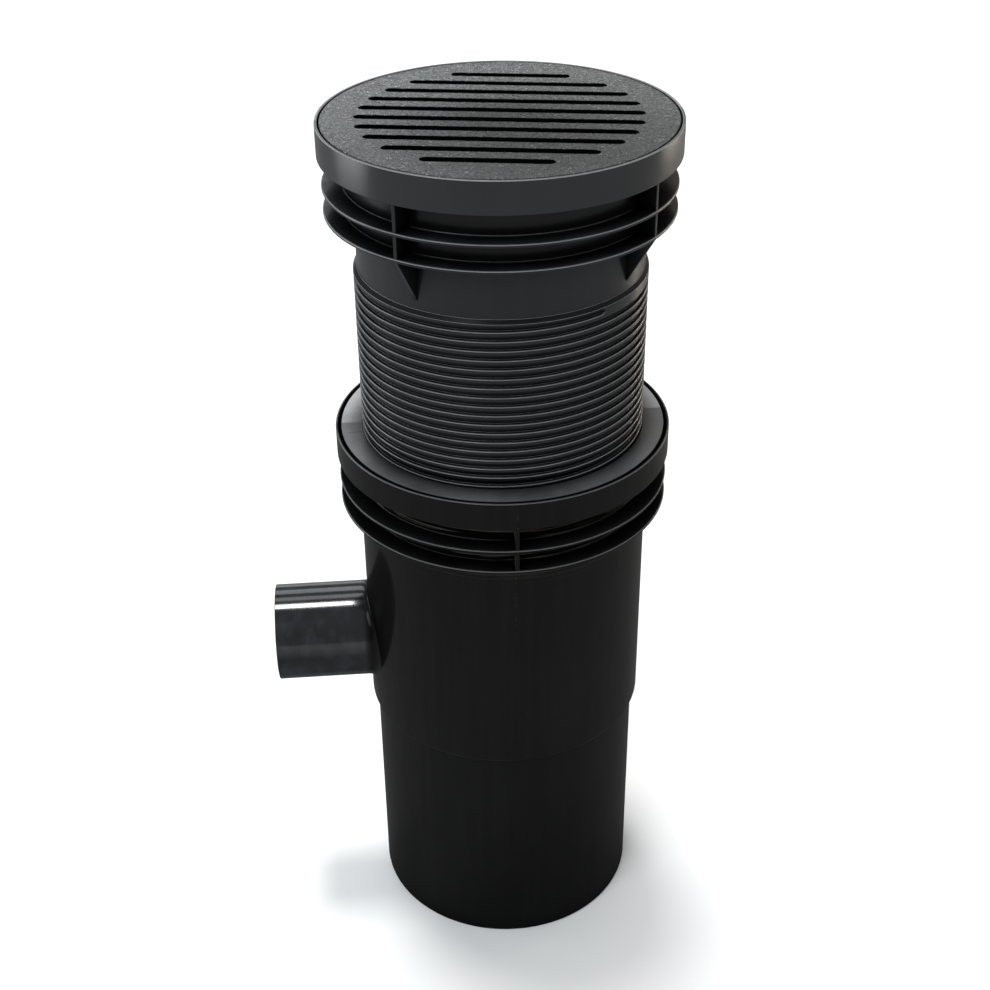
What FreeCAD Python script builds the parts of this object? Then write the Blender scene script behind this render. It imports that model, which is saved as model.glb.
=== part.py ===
"""Height-adjustable drain sump: a slotted iron grate in a threaded riser, which screws through a
ring in the rim of a body with a side outlet. A bucket below the outlet catches silt.

Millimetres, +Z up. The origin is the centre of the bucket's base. The outlet points along -X."""
import FreeCAD, Part
import math
import os
import re

import Sketcher
from FreeCAD import Placement, Rotation, Vector

doc = FreeCAD.newDocument("drain_sump")
sheet = doc.addObject("Spreadsheet::Sheet", "Sizes")

# Driving dimensions: alias, value, what it measures
SIZES = [
    ("shaft_radius", 157.5, "body shaft, outside"),
    ("shaft_wall", 5.3, "wall of the shaft"),
    ("bucket_reach", 277.0, "height of the bucket below the body"),
    ("body_length", 354.0, "body, from its rim to its lower edge"),
    ("riser_height", 334.0, "riser rim above the body rim"),
    ("rim_overhang", 22.5, "both rims, outwards from the shaft"),
    ("rim_wall", 3.2, "wall of both rims"),
    ("rim_floor", 4.0, "thickness of the ledge inside both rims"),
    ("rim_edge", 1.2, "bevel of both rims at the top"),
    ("flange_thickness", 3.5, "all four ground flanges"),
    ("rib_thickness", 4.0, "upright ribs between the flanges"),
    ("rib_setback", 1.0, "ribs behind the flange edge"),
    ("rib_count", 4, "ribs on each moulding"),
    ("root_overlap", 2.0, "how far a rib is rooted in its wall"),
    ("riser_rim_height", 33.0, "riser rim band"),
    ("riser_flange_setback", 3.0, "riser flanges behind the rim"),
    ("riser_flange_drop", 61.4, "upper riser flange below the rim top"),
    ("riser_flange_pitch", 25.7, "from the upper to the lower riser flange"),
    ("neck_step", 5.0, "riser neck, outwards from the thread crest"),
    ("neck_wall", 4.5, "wall of that neck"),
    ("tube_step", 4.0, "plain tube under the flanges, inwards from the thread crest"),
    ("tube_wall", 4.0, "wall of that tube"),
    ("bore_taper", 10.0, "height of the taper from neck to tube bore"),
    ("gusset_drop", 140.0, "tip of the gussets below the rim top"),
    ("collar_drop", 149.0, "where the tube widens to the thread"),
    ("collar_slope", 3.8, "height of that shoulder"),
    ("riser_length", 380.0, "riser, from its rim to its lower end"),
    ("riser_turn", -38.2, "riser turned about the axis, degrees"),
    ("thread_play", 1.2, "between the thread crest and the shaft bore"),
    ("thread_depth", 3.6, "from crest to root"),
    ("thread_pitch", 10.0, "rise of the thread in one turn"),
    ("thread_crest", 3.4, "flat on top of the ridge"),
    ("thread_flank", 0.9, "height of the steep upper side of the ridge"),
    ("thread_start_drop", 160.0, "first crest edge below the rim top"),
    ("thread_start_turn", -15.0, "upper end of the groove, degrees from a rib"),
    ("thread_clearance", 0.55, "between the threads of riser and ring"),
    ("ring_engagement", 2.2, "depth of the ring thread on the riser"),
    ("ring_gap", 2.8, "between the ring and the body rim"),
    ("ring_wall", 4.5, "walls and top of the ring"),
    ("ring_edge", 0.8, "bevel round the ring"),
    ("ring_lead_in", 2.0, "bevel at the mouth of the ring thread"),
    ("ring_rib_count", 8, "ribs under the ring"),
    ("grate_gap", 1.4, "between the grate and the riser rim"),
    ("grate_edge", 1.5, "bevel round the grate"),
    ("grate_draft", 0.8, "how far the skirt tapers in"),
    ("grate_plate", 14.0, "thickness of the slotted plate"),
    ("grate_skirt", 12.0, "width of the skirt the grate stands on"),
    ("grate_sink", 0.3, "grate below the rim top"),
    ("grate_turn", -9.85, "grate turned about the axis, degrees"),
    ("slot_width", 12.0, "slots"),
    ("slot_pitch", 28.4, "from slot to slot"),
    ("slot_margin", 33.4, "from the grate edge to the circle that all slot ends touch"),
    ("bar_width", 12.0, "cross bars under the slotted plate"),
    ("bar_depth", 10.0, "cross bars below the plate"),
    ("bar_spacing", 150.0, "between the middles of the two cross bars"),
    ("body_rim_height", 31.2, "body rim band"),
    ("body_flange_setback", 1.5, "body flanges behind the rim"),
    ("body_flange_drop", 57.1, "upper body flange below the rim top"),
    ("body_flange_pitch", 24.8, "from the upper to the lower body flange"),
    ("outlet_rise", 81.3, "outlet axis above the body's lower edge"),
    ("outlet_radius", 55.0, "outlet spigot, outside"),
    ("outlet_wall", 3.4, "wall of the spigot"),
    ("outlet_length", 106.0, "spigot, out from the shaft"),
    ("outlet_collar", 6.0, "thicker root of the spigot, out from the shaft"),
    ("outlet_collar_step", 0.6, "how far that root stands proud"),
    ("stop_rise", 20.0, "bucket stop above the body's lower edge"),
    ("stop_height", 4.0, "bucket stop"),
    ("stop_width", 3.0, "bucket stop, inwards from the bore"),
    ("bucket_clearance", 0.7, "between bucket and body bore"),
    ("bucket_wall", 4.5, "bucket wall"),
    ("bucket_floor", 5.0, "bucket floor"),
    ("bucket_edge", 3.0, "bevel round the base"),
    ("seal_height", 8.0, "groove for the seal"),
    ("seal_depth", 2.0, "depth of that groove"),
    ("seal_rise", 6.0, "groove above the body's lower edge"),
    ("seal_edge", 0.8, "bevel of the seal"),
    ("seal_play", 0.1, "between the seal and the faces round it"),
]

for row, (alias, number, note) in enumerate(SIZES, start=1):
    sheet.set(f"A{row}", note)
    sheet.set(f"B{row}", str(number))
    sheet.setAlias(f"B{row}", alias)
doc.recompute()
ALIASES = {alias for alias, number, note in SIZES}


def linked(expression):
    """The expression with every alias written as a reference to the sheet."""
    def refer(word):
        return f"Sizes.{word[0]}" if word[0] in ALIASES else word[0]
    return re.sub(r"[a-z_]+", refer, expression)


def measure(expression):
    """The number that an expression on the sheet comes to now."""
    return float(sheet.evalExpression(linked(expression)))


def bind(thing, prop, expression):
    thing.setExpression(prop, linked(expression))


# Drawing helpers

def new_body(label, lift, turn="0"):
    """A sub-part whose own origin is lifted and turned about the common axis."""
    body = doc.addObject("PartDesign::Body", label)
    body.Label = label
    body.Placement = Placement(Vector(0, 0, measure(lift)), Rotation(Vector(0, 0, 1), measure(turn)))
    bind(body, "Placement.Base.z", lift)
    bind(body, "Placement.Rotation.Angle", turn)
    return body


def origin_item(body, role):
    return next(item for item in body.Origin.OriginFeatures if item.Role == role)


def new_sketch(body, name, plane="XZ_Plane"):
    sketch = body.newObject("Sketcher::SketchObject", name)
    sketch.AttachmentSupport = [(origin_item(body, plane), "")]
    sketch.MapMode = "FlatFace"
    return sketch


def hold(sketch, constraint, expression):
    """Add a constraint whose size follows the sheet."""
    index = sketch.addConstraint(constraint)
    bind(sketch, f"Constraints[{index}]", expression)


def place_point(sketch, geometry, position, across, up):
    """Hold a point of the sketch at two distances from its origin."""
    for kind, expression in (("DistanceX", across), ("DistanceY", up)):
        hold(sketch, Sketcher.Constraint(kind, -1, 1, geometry, position, measure(expression)), expression)


def outline(sketch, corners):
    """A closed outline with straight sides. Each corner is two expressions, across and up."""
    points = [Vector(measure(across), measure(up), 0) for across, up in corners]
    ends = points[1:] + points[:1]
    sides = [sketch.addGeometry(Part.LineSegment(start, end)) for start, end in zip(points, ends)]
    for side, following in zip(sides, sides[1:] + sides[:1]):
        sketch.addConstraint(Sketcher.Constraint("Coincident", side, 2, following, 1))
    for side, (across, up) in zip(sides, corners):
        place_point(sketch, side, 1, across, up)


def circle(sketch, radius, across, up):
    centre = Vector(measure(across), measure(up), 0)
    hoop = sketch.addGeometry(Part.Circle(centre, Vector(0, 0, 1), measure(radius)))
    hold(sketch, Sketcher.Constraint("Radius", hoop, measure(radius)), radius)
    place_point(sketch, hoop, 3, across, up)


def turned(body, name, corners, kind="Revolution"):
    """A profile turned about the axis: a Revolution adds it, a Groove cuts it."""
    sketch = new_sketch(body, name + "_profile")
    outline(sketch, corners)
    feature = body.newObject("PartDesign::" + kind, name)
    feature.Profile = sketch
    feature.ReferenceAxis = (sketch, ["V_Axis"])
    feature.Angle = 360
    doc.recompute()
    return feature


def straight(body, name, sketch, length, kind="Pad", backwards=False, both_ways=False):
    """A sketch pushed straight out: a Pad adds it, a Pocket cuts it."""
    feature = body.newObject("PartDesign::" + kind, name)
    feature.Profile = sketch
    feature.Reversed = backwards
    feature.SideType = "Symmetric" if both_ways else "One side"
    bind(feature, "Length", length)
    doc.recompute()
    return feature


def ribs(body, name, count, corners):
    """Upright plates with the given outline, spaced evenly round the axis."""
    sketch = new_sketch(body, name + "_profile")
    outline(sketch, corners)
    plate = straight(body, name, sketch, "rib_thickness", both_ways=True)
    row = body.newObject("PartDesign::PolarPattern", name + "_round")
    row.Originals = [plate]
    row.Axis = (origin_item(body, "Z_Axis"), [""])
    row.Angle = 360
    bind(row, "Occurrences", count)
    body.Tip = row
    doc.recompute()


def cut_thread(body, name, corners, height):
    """A right-hand helical groove, cut downwards from where its outline stands."""
    sketch = new_sketch(body, name + "_profile")
    sketch.AttachmentOffset = Placement(Vector(), Rotation(Vector(0, 1, 0), measure("thread_start_turn")))
    bind(sketch, "AttachmentOffset.Rotation.Angle", "thread_start_turn")
    outline(sketch, corners)
    groove = body.newObject("PartDesign::SubtractiveHelix", name)
    groove.Profile = sketch
    groove.ReferenceAxis = (sketch, ["V_Axis"])
    groove.Mode = "pitch-height-angle"
    bind(groove, "Pitch", "thread_pitch")
    bind(groove, "Height", height)
    groove.Reversed = True
    doc.recompute()


# Heights in the common frame
BODY_TOP = "(bucket_reach + body_length)"
RISER_TOP = f"({BODY_TOP} + riser_height)"

# Sizes that several pieces share, all worked out from the shaft
SHAFT_BORE = "(shaft_radius - shaft_wall)"
RIM_RADIUS = "(shaft_radius + rim_overhang)"
REBATE_RADIUS = f"({RIM_RADIUS} - rim_wall)"
RISER_REBATE = "(riser_rim_height - rim_floor)"
BODY_REBATE = "(body_rim_height - rim_floor)"
GRATE_RADIUS = f"({REBATE_RADIUS} - grate_gap)"
SLOT_CIRCLE = f"({GRATE_RADIUS} - slot_margin)"
BUCKET_RADIUS = f"({SHAFT_BORE} - bucket_clearance)"
SEAL_FLOOR = f"({BUCKET_RADIUS} - seal_depth)"
SEAL_FOOT = "(bucket_reach + seal_rise)"
THREAD_RADIUS = f"({SHAFT_BORE} - thread_play)"
THREAD_SLOPE = "(thread_pitch - thread_crest - thread_flank)"


def make_bucket():
    """A plain round bucket whose mouth carries the seal and stops inside the body."""
    bucket = new_body("bucket", "0")
    mouth = "bucket_reach + stop_rise"
    turned(bucket, "bucket_shell", [
        ("0", "0"),
        (f"{BUCKET_RADIUS} - bucket_edge", "0"),
        (BUCKET_RADIUS, "bucket_edge"),
        (BUCKET_RADIUS, SEAL_FOOT),
        (SEAL_FLOOR, SEAL_FOOT),
        (SEAL_FLOOR, f"{SEAL_FOOT} + seal_height"),
        (BUCKET_RADIUS, f"{SEAL_FOOT} + seal_height"),
        (BUCKET_RADIUS, mouth),
        (f"{BUCKET_RADIUS} - bucket_wall", mouth),
        (f"{BUCKET_RADIUS} - bucket_wall", "bucket_floor"),
        ("0", "bucket_floor"),
    ])
    return bucket


def make_seal():
    """A square rubber ring in the bucket's groove, pressed against the body bore."""
    seal = new_body("seal", SEAL_FOOT)
    inside = f"{SEAL_FLOOR} + seal_play"
    outside = f"{SHAFT_BORE} - seal_play"
    turned(seal, "seal_ring", [
        (inside, "0"),
        (f"{outside} - seal_edge", "0"),
        (outside, "seal_edge"),
        (outside, "seal_height - seal_play - seal_edge"),
        (f"{outside} - seal_edge", "seal_height - seal_play"),
        (inside, "seal_height - seal_play"),
    ])
    return seal


def make_body():
    """One moulding, from its rim down: rim, shaft with two flanges, outlet spigot."""
    body = new_body("body", BODY_TOP)
    flange_radius = f"({RIM_RADIUS} - body_flange_setback)"
    lower_flange = "(body_flange_drop + body_flange_pitch)"
    turned(body, "body_outside", [
        ("0", "0"),
        (f"{RIM_RADIUS} - rim_edge", "0"),
        (RIM_RADIUS, "-rim_edge"),
        (RIM_RADIUS, "-body_rim_height"),
        ("shaft_radius", "-body_rim_height"),
        ("shaft_radius", "-body_flange_drop"),
        (flange_radius, "-body_flange_drop"),
        (flange_radius, "-body_flange_drop - flange_thickness"),
        ("shaft_radius", "-body_flange_drop - flange_thickness"),
        ("shaft_radius", f"-{lower_flange}"),
        (flange_radius, f"-{lower_flange}"),
        (flange_radius, f"-{lower_flange} - flange_thickness"),
        ("shaft_radius", f"-{lower_flange} - flange_thickness"),
        ("shaft_radius", "-body_length"),
        ("0", "-body_length"),
    ])
    ribs(body, "body_rib", "rib_count", [
        ("shaft_radius - root_overlap", "root_overlap - body_rim_height"),
        (f"{flange_radius} - rib_setback", "root_overlap - body_rim_height"),
        (f"{flange_radius} - rib_setback", f"-{lower_flange} - flange_thickness / 2"),
        ("shaft_radius - root_overlap", f"-{lower_flange} - flange_thickness / 2"),
    ])
    add_spigot(body, "outlet_root", "outlet_radius + outlet_collar_step", "outlet_collar")
    add_spigot(body, "outlet", "outlet_radius", "outlet_length")
    turned(body, "body_inside", [
        ("0", "0"),
        (REBATE_RADIUS, "0"),
        (REBATE_RADIUS, f"-{BODY_REBATE}"),
        (SHAFT_BORE, f"-{BODY_REBATE}"),
        (SHAFT_BORE, "stop_rise + stop_height - body_length"),
        (f"{SHAFT_BORE} - stop_width", "stop_rise + stop_height - body_length"),
        (f"{SHAFT_BORE} - stop_width", "stop_rise - body_length"),
        (SHAFT_BORE, "stop_rise - body_length"),
        (SHAFT_BORE, "-body_length"),
        ("0", "-body_length"),
    ], kind="Groove")
    bore = new_sketch(body, "outlet_bore_profile", "YZ_Plane")
    circle(bore, "outlet_radius - outlet_wall", "0", "outlet_rise - body_length")
    straight(body, "outlet_bore", bore, "shaft_radius + outlet_length", kind="Pocket")
    return body


def add_spigot(body, name, radius, length):
    """A round bar along -X, from the axis to the given length outside the shaft."""
    sketch = new_sketch(body, name + "_profile", "YZ_Plane")
    circle(sketch, radius, "0", "outlet_rise - body_length")
    straight(body, name, sketch, f"shaft_radius + {length}", backwards=True)


def make_ring():
    """The threaded ring that lies in the body rim and carries the riser: a channel, open below."""
    ring = new_body("threaded_ring", BODY_TOP, "riser_turn")
    outside = f"({REBATE_RADIUS} - ring_gap)"
    bore = f"({THREAD_RADIUS} - ring_engagement)"
    inner_wall = f"({THREAD_RADIUS} + thread_clearance + ring_wall)"
    turned(ring, "ring_channel", [
        (f"{outside} - ring_edge", "0"),
        (outside, "-ring_edge"),
        (outside, f"-{BODY_REBATE}"),
        (f"{outside} - ring_wall", f"-{BODY_REBATE}"),
        (f"{outside} - ring_wall", "-ring_wall"),
        (inner_wall, "-ring_wall"),
        (inner_wall, f"-{BODY_REBATE}"),
        (bore, f"-{BODY_REBATE}"),
        (bore, "-ring_lead_in"),
        (f"{bore} + ring_lead_in", "0"),
    ])
    ribs(ring, "ring_rib", "ring_rib_count", [
        (f"{inner_wall} - root_overlap", "root_overlap - ring_wall"),
        (f"{outside} - ring_wall + root_overlap", "root_overlap - ring_wall"),
        (f"{outside} - ring_wall + root_overlap", f"-{BODY_REBATE}"),
        (f"{inner_wall} - root_overlap", f"-{BODY_REBATE}"),
    ])
    cut_ring_thread(ring, bore)
    return ring


def cut_ring_thread(ring, bore):
    """The riser's ridge with clearance all round, in step with the riser where it stands."""
    crest_edge = "(mod(riser_height - thread_start_drop; thread_pitch) + 2 * thread_pitch)"
    upper_play = "thread_clearance * sqrt(1 + (thread_flank / thread_depth)^2)"
    lower_play = f"thread_clearance * sqrt(1 + ({THREAD_SLOPE} / thread_depth)^2)"

    def upper(reach):
        return f"{crest_edge} + {upper_play} + thread_flank * {reach} / thread_depth"

    def lower(reach):
        return f"{crest_edge} - thread_crest - {lower_play} - {THREAD_SLOPE} * {reach} / thread_depth"

    outward = "(-thread_clearance)"
    inward = "(ring_engagement + thread_clearance / 4)"
    cut_thread(ring, "ring_thread", [
        (f"{THREAD_RADIUS} + thread_clearance", upper(outward)),
        (f"{THREAD_RADIUS} + thread_clearance", lower(outward)),
        (f"{bore} - thread_clearance / 4", lower(inward)),
        (f"{bore} - thread_clearance / 4", upper(inward)),
    ], f"{BODY_REBATE} + 4 * thread_pitch")


def make_riser():
    """One moulding, from its rim down: rim, neck with two flanges, plain tube, thread."""
    riser = new_body("riser", RISER_TOP, "riser_turn")
    neck_radius = f"({THREAD_RADIUS} + neck_step)"
    tube_radius = f"({THREAD_RADIUS} - tube_step)"
    flange_radius = f"({RIM_RADIUS} - riser_flange_setback)"
    lower_flange = "(riser_flange_drop + riser_flange_pitch)"
    under_flange = f"(-{lower_flange} - flange_thickness)"
    turned(riser, "riser_shell", [
        (f"{RIM_RADIUS} - rim_edge", "0"),
        (RIM_RADIUS, "-rim_edge"),
        (RIM_RADIUS, "-riser_rim_height"),
        (neck_radius, "-riser_rim_height"),
        (neck_radius, "-riser_flange_drop"),
        (flange_radius, "-riser_flange_drop"),
        (flange_radius, "-riser_flange_drop - flange_thickness"),
        (neck_radius, "-riser_flange_drop - flange_thickness"),
        (neck_radius, f"-{lower_flange}"),
        (flange_radius, f"-{lower_flange}"),
        (flange_radius, under_flange),
        (tube_radius, under_flange),
        (tube_radius, "-collar_drop"),
        (THREAD_RADIUS, "-collar_drop - collar_slope"),
        (THREAD_RADIUS, "-riser_length"),
        (f"{tube_radius} - tube_wall", "-riser_length"),
        (f"{tube_radius} - tube_wall", f"-{lower_flange}"),
        (f"{neck_radius} - neck_wall", f"bore_taper - {lower_flange}"),
        (f"{neck_radius} - neck_wall", f"-{RISER_REBATE}"),
        (REBATE_RADIUS, f"-{RISER_REBATE}"),
        (REBATE_RADIUS, "0"),
    ])
    rib_edge = f"{flange_radius} - rib_setback"
    ribs(riser, "riser_rib", "rib_count", [
        (f"{neck_radius} - root_overlap", "root_overlap - riser_rim_height"),
        (rib_edge, "root_overlap - riser_rim_height"),
        (rib_edge, under_flange),
        (tube_radius, "-gusset_drop"),
        (f"{tube_radius} - root_overlap", "-gusset_drop"),
        (f"{tube_radius} - root_overlap", under_flange),
        (f"{neck_radius} - root_overlap", f"-{lower_flange}"),
    ])
    crest_edge = "-thread_start_drop"
    mouth = f"{crest_edge} + thread_pitch - thread_crest"
    cut_thread(riser, "riser_thread", [
        (f"{THREAD_RADIUS} - thread_depth", f"{crest_edge} + thread_flank"),
        (THREAD_RADIUS, mouth),
        (f"{THREAD_RADIUS} + thread_clearance", mouth),
        (f"{THREAD_RADIUS} + thread_clearance", crest_edge),
        (THREAD_RADIUS, crest_edge),
    ], "riser_length - thread_start_drop + thread_pitch")
    return riser


def make_grate():
    """A cast grate: a slotted plate on a round skirt, stiffened by two bars across the slots."""
    grate = new_body("grate", f"{RISER_TOP} - grate_sink", "grate_turn")
    foot = f"(grate_sink - {RISER_REBATE})"
    skirt_inside = f"({GRATE_RADIUS} - grate_skirt)"
    turned(grate, "grate_plate_and_skirt", [
        ("0", "0"),
        (f"{GRATE_RADIUS} - grate_edge", "0"),
        (GRATE_RADIUS, "-grate_edge"),
        (f"{GRATE_RADIUS} - grate_draft", foot),
        (skirt_inside, foot),
        (skirt_inside, "-grate_plate"),
        ("0", "-grate_plate"),
    ])
    slots = new_sketch(grate, "slot_profile", "XY_Plane")
    rows_that_fit = measure(f"({SLOT_CIRCLE} - slot_width / 2) / slot_pitch + 0.5")
    for slot in range(math.floor(rows_that_fit)):
        add_slot(slots, f"({slot} + 0.5) * slot_pitch")
    half = straight(grate, "slots", slots, "grate_plate", kind="Pocket")
    other_half = grate.newObject("PartDesign::Mirrored", "slots_mirrored")
    other_half.Originals = [half]
    other_half.MirrorPlane = (origin_item(grate, "XZ_Plane"), [""])
    grate.Tip = other_half
    doc.recompute()
    add_bars(grate)
    return grate


def add_slot(sketch, offset):
    """A slot with round ends along X, as long as the circle round all slots allows."""
    reach = f"sqrt({SLOT_CIRCLE}^2 - ({offset})^2) - slot_width / 2"
    half_width = measure("slot_width / 2")
    middle = Vector(measure(reach), measure(offset), 0)
    far_middle = Vector(-middle.x, middle.y, 0)
    side = Vector(0, half_width, 0)
    up = Vector(0, 0, 1)
    right = sketch.addGeometry(Part.ArcOfCircle(Part.Circle(middle, up, half_width), -1.5708, 1.5708))
    left = sketch.addGeometry(Part.ArcOfCircle(Part.Circle(far_middle, up, half_width), 1.5708, 4.7124))
    top = sketch.addGeometry(Part.LineSegment(middle + side, far_middle + side))
    bottom = sketch.addGeometry(Part.LineSegment(far_middle - side, middle - side))
    for first, following in ((right, top), (top, left), (left, bottom), (bottom, right)):
        sketch.addConstraint(Sketcher.Constraint("Tangent", first, 2, following, 1))
    hold(sketch, Sketcher.Constraint("Radius", right, half_width), "slot_width / 2")
    sketch.addConstraint(Sketcher.Constraint("Equal", right, left))
    place_point(sketch, right, 3, reach, offset)
    place_point(sketch, left, 3, f"-({reach})", offset)


def add_bars(grate):
    """Two bars under the plate, across the slots, let into the skirt at both ends."""
    outer = "(bar_spacing + bar_width) / 2"
    inner = "(bar_spacing - bar_width) / 2"
    reach = f"sqrt(({GRATE_RADIUS} - grate_skirt / 2)^2 - ({outer})^2)"
    sketch = new_sketch(grate, "bar_profile", "XY_Plane")
    sketch.AttachmentOffset = Placement(Vector(0, 0, measure("-grate_plate")), Rotation())
    bind(sketch, "AttachmentOffset.Base.z", "-grate_plate")
    for side in ("", "-"):
        outline(sketch, [
            (f"{side}({inner})", f"-{reach}"),
            (f"{side}({outer})", f"-{reach}"),
            (f"{side}({outer})", reach),
            (f"{side}({inner})", reach),
        ])
    straight(grate, "bars", sketch, "bar_depth", backwards=True)


def main():
    recipes = (make_bucket, make_seal, make_body, make_ring, make_riser, make_grate)
    parts = [recipe() for recipe in recipes]
    doc.recompute()
    for item in doc.Objects:
        if "Invalid" in item.State or "Error" in item.State:
            raise RuntimeError(f"{item.Name} did not rebuild: {item.State}")
    for part in parts:
        if part.Shape.isNull() or not part.Shape.isValid() or len(part.Shape.Solids) != 1:
            raise RuntimeError(f"{part.Label} is not one valid solid")
    os.makedirs("parts", exist_ok=True)
    for part in parts:
        part.Shape.exportStep(f"parts/{part.Label}.step")
        print(part.Label, round(part.Shape.Volume), "mm3")


main()
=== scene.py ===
"""Drain sump: finer pieces, finishes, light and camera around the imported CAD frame.

Outlines are in millimetres from a piece's own top or base, and everything in the scene is in metres."""

import math

import bmesh
import bpy
from mathutils import Matrix, Vector, noise


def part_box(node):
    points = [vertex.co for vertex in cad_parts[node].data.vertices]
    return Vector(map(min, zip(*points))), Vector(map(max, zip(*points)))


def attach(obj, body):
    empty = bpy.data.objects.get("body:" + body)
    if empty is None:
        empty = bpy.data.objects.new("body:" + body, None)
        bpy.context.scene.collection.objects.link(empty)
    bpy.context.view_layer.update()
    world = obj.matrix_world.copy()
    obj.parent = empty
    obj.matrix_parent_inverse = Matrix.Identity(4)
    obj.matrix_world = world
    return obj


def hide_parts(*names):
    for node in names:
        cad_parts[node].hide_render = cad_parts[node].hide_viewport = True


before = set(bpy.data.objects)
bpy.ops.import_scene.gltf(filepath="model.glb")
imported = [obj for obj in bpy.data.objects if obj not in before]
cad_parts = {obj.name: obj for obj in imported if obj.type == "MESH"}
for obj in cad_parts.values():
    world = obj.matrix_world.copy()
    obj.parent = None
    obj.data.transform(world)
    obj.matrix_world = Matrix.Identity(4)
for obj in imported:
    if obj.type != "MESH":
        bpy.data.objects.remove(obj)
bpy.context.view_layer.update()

MM = 0.001
TURN = 2 * math.pi
STEPS = 192
SHARP = math.radians(35)
JOIN_DISTANCE = MM / 500
NO_FILLET = 0.0
FILLET_STEPS = 4

# How far joined forms and cutting solids reach past the face that they meet
BITE = 2.0
SMALL_BITE = 1.0
OVERCUT = 1.0

# Heights of the pieces in the frame
RISER_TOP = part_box("riser")[1].z
BODY_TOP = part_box("body")[1].z
GRATE_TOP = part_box("grate")[1].z

# Rims, flanges and ribs
RIM_RADIUS = 180.0
RIM_INSIDE = 176.8
RIM_ROUND = 1.2
FLANGE_THICKNESS = 3.5
FLANGE_ROUND = 1.3
CORNER = 1.2
FINE_CORNER = 0.5
RIB_THICKNESS = 4.0
RIB_ROUND = 0.6
RIB_COUNT = 4
RIB_INSET = 1.0

# Riser
RISER_TURN = math.radians(-38.2)
RISER_RIM = 33.0
RISER_LEDGE = 29.0
RISER_FLANGE = 177.0
RISER_FLANGES = (61.4, 87.1)
NECK_RADIUS = 156.0
NECK_INSIDE = 151.5
NECK_TAPER = 10.0
TUBE_RADIUS = 147.0
TUBE_INSIDE = 143.0
GUSSET_TIP = 140.0
COLLAR_DROP = 149.0
COLLAR_FOOT = 152.8
COLLAR_ROUND = 0.6
COLLAR_END = 153.07
RISER_LENGTH = 380.0
FOOT_RADIUS = 145.5

# Thread
THREAD_RADIUS = 151.0
THREAD_DEPTH = 3.6
THREAD_PITCH = 10.0
THREAD_CREST = 3.4
THREAD_FLANK = 0.9
THREAD_ROUND = 1.0
THREAD_ROOT = 0.4
THREAD_START = RISER_TURN + math.radians(-15)
THREAD_START_DROP = 153.4
THREAD_TURNS = 23
THREAD_END = 3.3
THREAD_TIP_STEPS = [0, 0.02, 0.08, 0.2, 0.4]

# Body
BODY_RIM = 31.2
BODY_LEDGE = 27.2
BODY_FLANGE = 178.5
BODY_FLANGES = (57.1, 81.9)
SHAFT_RADIUS = 157.5
SHAFT_INSIDE = 152.2
BODY_LENGTH = 354.0
STOP_RADIUS = 149.2
STOP_FOOT = 334.0
STOP_HEAD = 330.0
OUTLET_DROP = 272.7
OUTLET_RADIUS = 55.0
OUTLET_INSIDE = 51.6
OUTLET_END = 263.5
OUTLET_ROUND = 0.9
OUTLET_ROOT = 6.0
OUTLET_ROOT_STEPS = 6
PARTING_WIDTH = 0.9
PARTING_HEIGHT = 0.25

# Threaded ring in the body rim
RING_RADIUS = 174.0
RING_WALL = 4.5
RING_ROUND = 1.0
RING_BORE = 148.8
RING_THREAD = 151.55
RING_LEAD_IN = 2.0
RING_RIBS = 8
RING_RIDGE = ((0.43, RING_THREAD), (1.12, RING_BORE), (2.09, RING_BORE), (6.44, RING_THREAD))
RING_RIDGE_RISE = 4.0
RING_RIDGES = range(-5, 2)
KNIT_LINE = math.radians(187)
KNIT_WIDTH = 0.5
KNIT_HEIGHT = 0.12
KNIT_INSET = 2.0

# Bucket
BUCKET_RADIUS = 151.5
BUCKET_INSIDE = 147.0
BUCKET_TOP = 297.0
BUCKET_FLOOR = 5.0
BUCKET_ROUND = 3.0
SEAL_GROOVE = (283.0, 291.0)
SEAL_GROOVE_RADIUS = 149.5

# Grate
GRATE_TURN = math.radians(-9.85)
GRATE_RADIUS = 175.4
GRATE_PLATE = 14.0
GRATE_DEPTH = 28.7
GRATE_SKIRT = 12.0
GRATE_ROUND = 1.4
SKIRT_HEAD_INSET = 0.4
SKIRT_FOOT_INSET = 0.8
EDGE_STEPS = 3
SLOT_WIDTH = 12.0
SLOT_PITCH = 28.4
SLOT_CIRCLE = 142.0
SLOT_COUNT = 10
SLOT_ROUND = 0.6
SLOT_SIDE_STEPS = 60
SLOT_END_STEPS = 10
SLOT_WANDER = 0.45
LONG_WAVES = 0.22
SHORT_WAVES = 0.8
BAR_WIDTH = 12.0
BAR_DEPTH = 10.0
BAR_SPACING = 150.0
BAR_ROUND = 1.0

# Camera, solved from the rims and flanges in the photograph
CAMERA_PLACE = (-0.1203, -1.4632, 1.4482)
CAMERA_HEADING = math.radians(-4.358)
CAMERA_PITCH = math.radians(32.027)
CAMERA_ROLL = math.radians(-0.664)
CAMERA_LENS = 56.31

# Stops over how far a face looks up. Painted highlights on round edges skip 0.73, which is the collar's
# slope
HIGHLIT_ROUND_EDGES = [(0.3, 0), (0.42, 1), (0.6, 1), (0.67, 0), (0.78, 0), (0.83, 1), (0.93, 1), (0.965, 0)]
HIGHLIT_LOWER_EDGES = [(0.2, 0), (0.4, 1), (0.8, 1), (0.95, 0)]
FLAT_TOPS = [(0.9, 0), (0.98, 1)]
UPRIGHT_FACES = [(0.2, 1), (0.5, 0)]
OUTLET_TOP_SIDE = [(0, 0.12), (0.25, 1)]
IRON_TOPS = [(0.35, 0), (0.8, 1)]

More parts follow.
